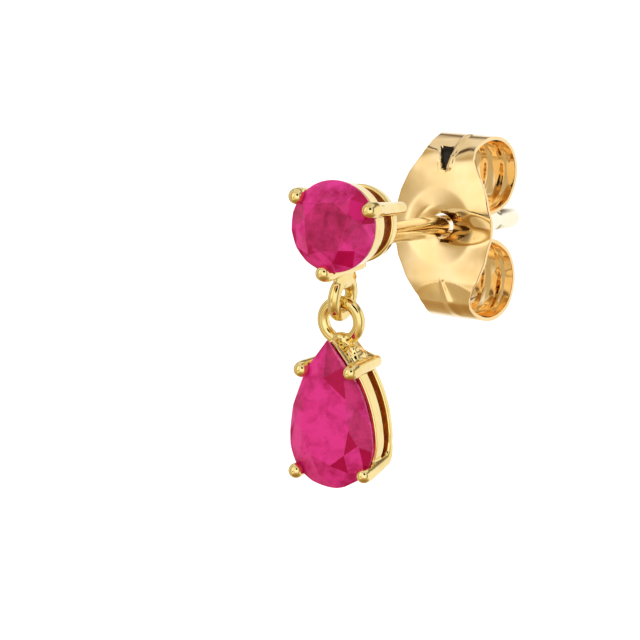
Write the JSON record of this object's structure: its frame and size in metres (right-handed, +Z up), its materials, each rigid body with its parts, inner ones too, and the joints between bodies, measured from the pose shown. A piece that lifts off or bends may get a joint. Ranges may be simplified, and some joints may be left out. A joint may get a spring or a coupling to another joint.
{
  "type": "drop stud earring with a butterfly back",
  "caption": "Post earring for a pierced ear: a round ruby in a pronged basket, a pear-cut ruby hanging from it on a ring, and a scrolled friction back.",
  "frame": {"origin": "on the post's axis, level with the rear rail of the stud's basket, where the piercing begins", "axes": "+Y along the post, from the stud towards its tip; +Z up, as worn; the stones face -Y; +X to the right seen from the front"},
  "size_m": [0.0042, 0.0138, 0.0114],
  "materials": {
    "polished_gold": "polished pale yellow gold",
    "ruby": "faceted, slightly cloudy"
  },
  "bodies": {
    "stud": {"stud_setting": "polished_gold", "round_ruby": "ruby"},
    "drop": {"drop_setting": "polished_gold", "pear_ruby": "ruby"},
    "clutch": {"butterfly_back": "polished_gold"}
  },
  "joints": [
    {"name": "drop_swing", "type": "hinge", "parent": "stud", "child": "drop", "pos_m": [-0.00045, -0.0008, -0.00257], "axis": [0, 1, 0], "range_deg": [-90, 90]},
    {"name": "clutch_slide", "type": "slide", "parent": "stud", "child": "clutch", "axis": [0, 1, 0], "range_m": [-0.0047, 0.0053]}
  ]
}
